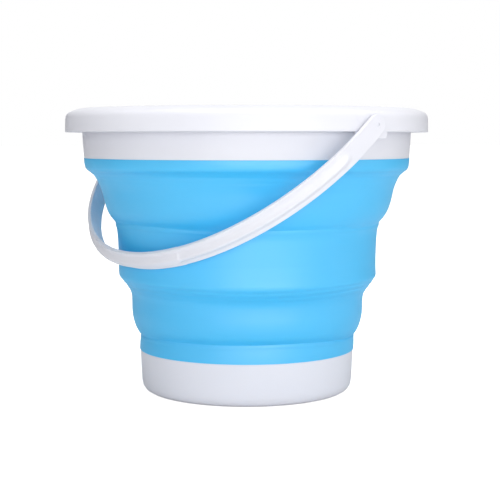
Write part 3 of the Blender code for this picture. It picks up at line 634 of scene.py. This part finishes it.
def strip_place(turn):
    """The point of the strip's inner face at this angle along the handle, and the way out from it."""
    point = Vector((HANDLE_INNER_RADIUS * math.cos(turn), -HANDLE_INNER_DROP * math.sin(turn), 0))
    outward = Vector((HANDLE_INNER_DROP * math.cos(turn), -HANDLE_INNER_RADIUS * math.sin(turn), 0))
    return point, outward.normalized()


def strip_section(width_scale, along, from_middle):
    """The strip's outline as (across, out) points, at these distances from its pivot and its middle."""
    spine = ramp(along, SPINE_START, SPINE_RAMP)
    grip = 1 - ramp(from_middle, GRIP_LENGTH / 2, GRIP_STEP)
    web = 1 - ramp(from_middle, WEB_WIDTH / 2, GRIP_STEP)
    half_width = STRIP_WIDTH / 2 + GRIP_GROWTH * grip
    lip = half_width - GRIP_LIP
    face = STRIP_THICKNESS
    recess = face - GRIP_RECESS * grip * (1 - web)
    crest = face + SPINE_HEIGHT * spine + GRIP_GROWTH * grip * spine
    waist = face + (crest - face) * SPINE_WAIST_SHARE
    half = [
        (half_width, 0, STRIP_ROUNDING),
        (half_width, face, STRIP_ROUNDING),
        (lip, face, GRIP_LIP_ROUNDING),
        (lip - GRIP_LIP_SLOPE, recess, GRIP_LIP_ROUNDING),
        (SPINE_FOOT_HALF_WIDTH + GRIP_SPINE_FOOT_GROWTH * grip, recess, SPINE_ROUNDING),
        (SPINE_WAIST_HALF_WIDTH + GRIP_SPINE_GROWTH * grip, waist, SPINE_ROUNDING),
        (SPINE_CREST_HALF_WIDTH + GRIP_SPINE_GROWTH * grip, crest, SPINE_CREST_ROUNDING),
    ]
    other_half = [(-across, out, reach) for across, out, reach in reversed(half)]
    points = smooth_line(half + other_half, closed=True)
    points[:, 0] *= width_scale
    return points


def handle_distances():
    """Where along the strip its sections stand: even steps, and close ones where the section changes."""
    half_length = HANDLE_INNER_DROP * math.pi / 2
    marks = []
    for start, length, count in (
        (SPINE_START, SPINE_RAMP, 8),
        (half_length - GRIP_LENGTH / 2 - GRIP_STEP, GRIP_STEP, 4),
        (half_length - WEB_WIDTH / 2 - GRIP_STEP, GRIP_STEP, 4),
    ):
        marks += [start + length * step / count for step in range(count + 1)]
    even = np.arange(0, half_length, STATION_SPACING)
    kept = [mark for mark in even if all(abs(mark - other) > STATION_SPACING / 3 for other in marks)]
    quarter = sorted(kept + marks)
    return quarter + [half_length * 2 - mark for mark in reversed(quarter)], half_length


def handle_stations():
    """The handle's sections from one end to the other, each as (point, way out, outline)."""
    distances, half_length = handle_distances()
    stations = []
    for distance in distances:
        point, outward = strip_place(distance / half_length * math.pi / 2)
        along = min(distance, half_length * 2 - distance)
        stations.append((point, outward, strip_section(1.0, along, half_length - along)))
    lobes = []
    for step in range(1, LOBE_STEPS + 1):
        swing = math.pi / 2 * LOBE_SHARE * step / LOBE_STEPS
        beyond = Vector((HANDLE_INNER_RADIUS, STRIP_WIDTH / 2 * math.sin(swing), 0))
        lobes.append((beyond, Vector((1, 0, 0)), strip_section(math.cos(swing), 0, half_length)))
    far_lobes = [(Vector((-point.x, point.y, 0)), -outward, section) for point, outward, section in lobes]
    return lobes[::-1] + stations + far_lobes


def handle_strip(material):
    """The bail, lofted through its sections and ended in round lobes, hanging against the wall."""
    shape = bmesh.new()
    tilt = Matrix.Rotation(LEAN, 3, "X")
    pivot = Vector((0, 0, PIVOT_HEIGHT))
    rings = []
    for point, outward, section in handle_stations():
        spots = [point + outward * out + Vector((0, 0, across)) for across, out in section]
        rings.append([shape.verts.new(tilt @ spot + pivot) for spot in spots])
    skin(shape, rings)
    shape.faces.new(rings[0])
    shape.faces.new(rings[-1])
    piece = new_piece("bail_handle", shape, material)
    face = HANDLE_INNER_RADIUS + STRIP_THICKNESS
    cut_away(piece, round_cutter("dimples", (face - DIMPLE_DEPTH, face + DIMPLE_DEPTH), DIMPLE_RADIUS))
    return piece


def knob(name, side, material):
    """One pivot knob: boss, shaft, head and nose, turned about X."""
    root = HANDLE_INNER_RADIUS + STRIP_THICKNESS / 2
    boss_foot = RIM_RADIUS + KNOB_CLEARANCE
    ear_inside = RIM_RADIUS - EAR_SET_BACK - EAR_WALL - KNOB_CLEARANCE
    head_end = ear_inside - KNOB_HEAD_LENGTH
    nose_end = head_end - KNOB_NOSE_LENGTH
    line = smooth_line([
        (0, root, 0),
        (BOSS_RADIUS, root, 0),
        (BOSS_RADIUS, boss_foot, BOSS_ROUNDING),
        (KNOB_RADIUS, boss_foot, KNOB_ROOT_ROUNDING),
        (KNOB_RADIUS, ear_inside, KNOB_END_ROUNDING),
        (KNOB_HEAD_RADIUS, ear_inside, KNOB_HEAD_ROUNDING),
        (KNOB_HEAD_RADIUS, head_end, KNOB_SHOULDER_ROUNDING),
        (KNOB_NOSE_RADIUS, nose_end, KNOB_NOSE_ROUNDING),
        (0, nose_end, 0),
    ], closed=False)
    shape = bmesh.new()
    turns = [math.tau * step / KNOB_STEPS for step in range(KNOB_STEPS)]
    rings = []
    for radius, reach in line:
        if radius < ON_AXIS:
            rings.append([shape.verts.new((side * reach, 0, PIVOT_HEIGHT))] * KNOB_STEPS)
            continue
        spots = [(side * reach, radius * math.cos(turn), PIVOT_HEIGHT + radius * math.sin(turn))
                 for turn in turns]
        rings.append([shape.verts.new(spot) for spot in spots])
    skin(shape, rings)
    return new_piece(name, shape, material)


def link_noise(tree, place, scale, detail, roughness):
    """A noise texture's level, read at the surface's rest place."""
    noise = tree.nodes.new("ShaderNodeTexNoise")
    noise.inputs["Scale"].default_value = scale
    noise.inputs["Detail"].default_value = detail
    noise.inputs["Roughness"].default_value = roughness
    tree.links.new(place, noise.inputs["Vector"])
    return noise.outputs["Fac"]


def link_range(tree, value, from_range, to_range):
    """Map a value from one range to another, held at its ends."""
    mapped = tree.nodes.new("ShaderNodeMapRange")
    mapped.inputs["From Min"].default_value = from_range[0]
    mapped.inputs["From Max"].default_value = from_range[1]
    mapped.inputs["To Min"].default_value = to_range[0]
    mapped.inputs["To Max"].default_value = to_range[1]
    tree.links.new(value, mapped.inputs["Value"])
    return mapped.outputs["Result"]


def link_math(tree, operation, first, second):
    """The sum, product or larger one of two values."""
    node = tree.nodes.new("ShaderNodeMath")
    node.operation = operation
    tree.links.new(first, node.inputs[0])
    tree.links.new(second, node.inputs[1])
    return node.outputs[0]


def link_drift(tree, place, colour, drifted):
    """A colour that drifts slowly to another one over the surface."""
    mix = tree.nodes.new("ShaderNodeMix")
    mix.data_type = "RGBA"
    mix.inputs["A"].default_value = (*colour, 1)
    mix.inputs["B"].default_value = (*drifted, 1)
    level = link_noise(tree, place, DRIFT_SCALE, detail=2.0, roughness=0.5)
    tree.links.new(link_range(tree, level, DRIFT_LEVELS, (0.0, 1.0)), mix.inputs["Factor"])
    return mix.outputs["Result"]


def link_sheen(tree, place, roughness, spread):
    """A roughness that is uneven over the surface, and higher along faint scuffs."""
    scuff_place = tree.nodes.new("ShaderNodeMapping")
    scuff_place.inputs["Scale"].default_value = SCUFF_STRETCH
    scuff_place.inputs["Rotation"].default_value = SCUFF_TURN
    tree.links.new(place, scuff_place.inputs["Vector"])
    scuffs = link_noise(tree, scuff_place.outputs["Vector"], SCUFF_SCALE, detail=4.0, roughness=0.65)
    sheen = link_noise(tree, place, SHEEN_SCALE, detail=3.0, roughness=0.55)
    uneven = link_range(tree, sheen, SHEEN_LEVELS, (roughness - spread, roughness + spread))
    scuffed = link_range(tree, scuffs, SCUFF_LEVELS, (0.0, SCUFF_ROUGHNESS))
    return link_math(tree, "ADD", uneven, scuffed)


def moulded_plastic(name, colour, drifted, roughness, spread, grain, grain_depth, ior):
    """A moulded plastic: slow colour drift, uneven sheen with faint scuffs, and fine grain."""
    material = bpy.data.materials.new(name)
    material.use_nodes = True
    tree = material.node_tree
    shader = tree.nodes["Principled BSDF"]
    shader.inputs["IOR"].default_value = ior
    place = tree.nodes.new("ShaderNodeAttribute")
    place.attribute_name = "rest_place"
    where = place.outputs["Vector"]
    tree.links.new(link_drift(tree, where, colour, drifted), shader.inputs["Base Color"])
    tree.links.new(link_sheen(tree, where, roughness, spread), shader.inputs["Roughness"])
    bump = tree.nodes.new("ShaderNodeBump")
    bump.inputs["Strength"].default_value = 1.0
    bump.inputs["Distance"].default_value = grain_depth
    tree.links.new(link_noise(tree, where, grain, detail=2.0, roughness=0.6), bump.inputs["Height"])
    tree.links.new(bump.outputs["Normal"], shader.inputs["Normal"])
    return material


def area_lamp(name, azimuth, elevation, width, height, power):
    """A softbox that faces the bucket from this azimuth (0 at -Y, 90 at +X) and elevation, in degrees."""
    turn = math.radians(azimuth)
    rise = math.radians(elevation)
    away = Vector((math.sin(turn) * math.cos(rise), -math.cos(turn) * math.cos(rise), math.sin(rise)))
    lamp = bpy.data.lights.new(name, "AREA")
    lamp.shape = "RECTANGLE"
    lamp.size = width
    lamp.size_y = height
    lamp.energy = power
    thing = bpy.data.objects.new(name, lamp)
    aim = Vector((0, 0, RIM_TOP / 2))
    thing.location = aim + away * LAMP_DISTANCE
    thing.rotation_euler = (-away).to_track_quat("-Z", "Y").to_euler()
    bpy.context.collection.objects.link(thing)


def white_world():
    """Soft light that is brighter overhead than at the horizon, and seen as white by the camera."""
    world = bpy.data.worlds.new("studio")
    bpy.context.scene.world = world
    world.use_nodes = True
    tree = world.node_tree
    background = tree.nodes["Background"]
    background.inputs["Color"].default_value = (1, 1, 1, 1)
    rays = tree.nodes.new("ShaderNodeLightPath").outputs
    seen = link_math(tree, "MAXIMUM", rays["Is Camera Ray"], rays["Is Transmission Ray"])
    place = tree.nodes.new("ShaderNodeTexCoord")
    parts = tree.nodes.new("ShaderNodeSeparateXYZ")
    tree.links.new(place.outputs["Generated"], parts.inputs[0])
    level = link_range(tree, parts.outputs["Z"], (0.0, 1.0), (HORIZON_LIGHT, OVERHEAD_LIGHT))
    tree.links.new(link_math(tree, "MAXIMUM", level, seen), background.inputs["Strength"])


def pale_floor():
    """A pale floor that the camera sees as white, apart from the bucket's own soft shadow."""
    shape = bmesh.new()
    bmesh.ops.create_grid(shape, x_segments=1, y_segments=1, size=FLOOR_REACH)
    mesh = bpy.data.meshes.new("floor")
    shape.to_mesh(mesh)
    shape.free()
    thing = bpy.data.objects.new("floor", mesh)
    thing.location.z = -FLOOR_DROP
    bpy.context.collection.objects.link(thing)
    material = bpy.data.materials.new("floor_white")
    material.use_nodes = True
    tree = material.node_tree
    shader = tree.nodes["Principled BSDF"]
    shader.inputs["Base Color"].default_value = (*FLOOR_COLOUR, 1)
    shader.inputs["Roughness"].default_value = FLOOR_ROUGHNESS
    shader.inputs["Specular IOR Level"].default_value = FLOOR_GLOSS
    shader.inputs["Emission Color"].default_value = (1, 1, 1, 1)
    rays = tree.nodes.new("ShaderNodeLightPath")
    glow = tree.nodes.new("ShaderNodeMath")
    glow.operation = "MULTIPLY"
    glow.inputs[1].default_value = FLOOR_GLOW
    tree.links.new(rays.outputs["Is Camera Ray"], glow.inputs[0])
    tree.links.new(glow.outputs[0], shader.inputs["Emission Strength"])
    mesh.materials.append(material)


def place_camera():
    """The photograph's view: nearly level, a little below the rim's top, about 51 degrees round from -Y."""
    lens = bpy.data.cameras.new("camera")
    lens.sensor_width = CAMERA_SENSOR
    lens.lens = CAMERA_LENS
    thing = bpy.data.objects.new("camera", lens)
    place = Vector((math.sin(CAMERA_AZIMUTH), -math.cos(CAMERA_AZIMUTH), 0)) * CAMERA_DISTANCE
    thing.location = place + Vector((0, 0, CAMERA_HEIGHT))
    turn = CAMERA_AZIMUTH - CAMERA_YAW
    ahead = Vector((-math.sin(turn), math.cos(turn), -math.tan(CAMERA_PITCH)))
    thing.rotation_euler = ahead.to_track_quat("-Z", "Y").to_euler()
    bpy.context.collection.objects.link(thing)
    bpy.context.scene.camera = thing


place_camera()
white_world()
pale_floor()
for lamp_row in LAMPS:
    area_lamp(*lamp_row)

hard = moulded_plastic("white_polypropylene", WHITE, WHITE_DRIFT, roughness=0.40, spread=0.05,
                       grain=900.0, grain_depth=0.00003, ior=1.47)
soft = moulded_plastic("blue_soft_rubber", BLUE, BLUE_DRIFT, roughness=0.50, spread=0.04,
                       grain=1400.0, grain_depth=0.00004, ior=2.1)

upper = upper_wall(soft)
lower = lower_wall(soft)
cup = base_cup(hard)
ring = rim_ring(hard)
ears = [ear("ear_right", 1, hard), ear("ear_left", -1, hard)]
ribs = rim_ribs(hard)
bail = handle_strip(hard)
knobs = [knob("pivot_knob_right", 1, hard), knob("pivot_knob_left", -1, hard)]

for piece in (upper, lower, cup, ring, ribs, bail, *ears, *knobs):
    keep_rest_places(piece)

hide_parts("base_cup")
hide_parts("wall_lower_collar", "wall_lower_fold", "wall_middle_ring")
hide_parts("wall_upper_fold", "wall_upper_collar", "wall_middle_ring")
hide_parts("rim_ring")
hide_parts("handle")
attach(cup, "base")
for piece in (ring, ribs, *ears):
    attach(piece, "rim")
for piece in (bail, *knobs):
    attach(piece, "handle")
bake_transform(lower)
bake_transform(upper)

bpy.context.scene.view_settings.view_transform = "Standard"
